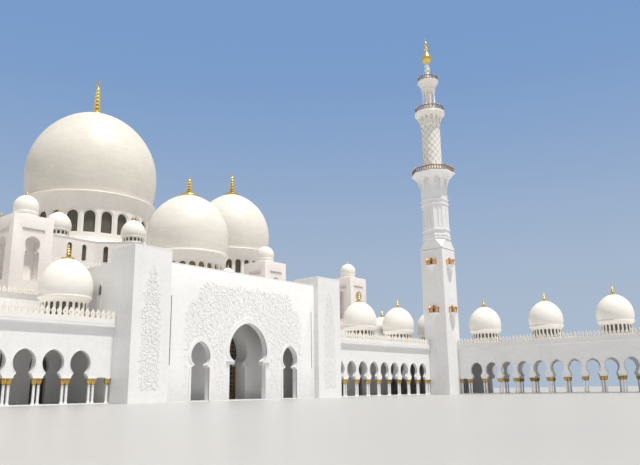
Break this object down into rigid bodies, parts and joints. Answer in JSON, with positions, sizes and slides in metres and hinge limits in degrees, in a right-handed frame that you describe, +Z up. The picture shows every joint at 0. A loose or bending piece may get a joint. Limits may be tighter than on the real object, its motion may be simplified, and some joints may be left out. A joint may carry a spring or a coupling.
{
  "type": "1:10 scale model of a domed mosque building",
  "caption": "Scale model of a white marble mosque: domed prayer hall, tall arched portal with swinging doors, arcades and a slender minaret.",
  "frame": {"origin": "on the ground under the portal's centre line, in the plane of the front arcades' walls", "axes": "+X along the front towards the minaret, +Y into the building, +Z up"},
  "size_m": [16.192, 14.4776, 10.604],
  "materials": {
    "marble": "honed warm-white marble in fine horizontal courses",
    "column_marble": "polished white marble shafts under gilded capitals",
    "gilding": "polished gold leaf",
    "dark_glazing": "dark glazing behind a fine patterned lattice",
    "floor_stone": "polished pale marble floor"
  },
  "bodies": {
    "root": {"floor": "floor_stone", "portal_wall": "marble", "right_portal_pylon": "marble", "left_portal_pylon": "marble", "portal_inner_wall": "marble", "portal_block_walls": "marble", "portal_roof": "marble", "portal_drum": "marble", "portal_dome": "marble", "main_base_front_walls": "marble", "main_base_rear_walls": "marble", "main_base_roof": "marble", "main_drum": "marble", "main_dome": "marble", "right_base_walls": "marble", "right_base_roof": "marble", "right_drum": "marble", "right_dome": "marble", "left_base_walls": "marble", "left_base_roof": "marble", "left_drum": "marble", "left_dome": "marble", "right_hall_front_wall": "marble", "left_hall_front_wall": "marble", "hall_rear_walls": "marble", "hall_roof": "marble", "turret_1": "marble", "turret_2": "marble", "turret_3": "marble", "turret_4": "marble", "right_arcade_wall": "marble", "left_arcade_wall": "marble", "right_arcade_roof": "marble", "left_arcade_roof": "marble", "lateral_near_wall": "marble", "lateral_far_wall": "marble", "lateral_outer_side": "marble", "lateral_roof": "marble", "minaret_lower_stages": "marble", "minaret_upper_stages": "marble", "right_arcade_columns": "column_marble", "left_arcade_columns": "column_marble", "lateral_near_columns": "column_marble", "lateral_far_columns": "column_marble", "portal_finial": "gilding", "main_finial": "gilding", "right_finial": "gilding", "left_finial": "gilding", "minaret_lower_railing": "gilding", "minaret_upper_railing": "gilding", "minaret_spire": "gilding", "door_head_glazing": "dark_glazing", "portal_drum_glazing": "dark_glazing", "main_drum_glazing": "dark_glazing", "right_drum_glazing": "dark_glazing", "left_drum_glazing": "dark_glazing", "right_hall_glazing": "dark_glazing", "left_hall_glazing": "dark_glazing"},
    "right_leaf": {"right_door": "dark_glazing"},
    "left_leaf": {"left_door": "dark_glazing"}
  },
  "joints": [
    {"name": "right_door_hinge", "type": "hinge", "parent": "root", "child": "right_leaf", "pos_m": [0.4752, 0.5052, 0.35], "axis": [0, 0, -1], "range_deg": [0, 90]},
    {"name": "left_door_hinge", "type": "hinge", "parent": "root", "child": "left_leaf", "pos_m": [-0.4752, 0.5052, 0.35], "axis": [0, 0, 1], "range_deg": [0, 90]}
  ]
}
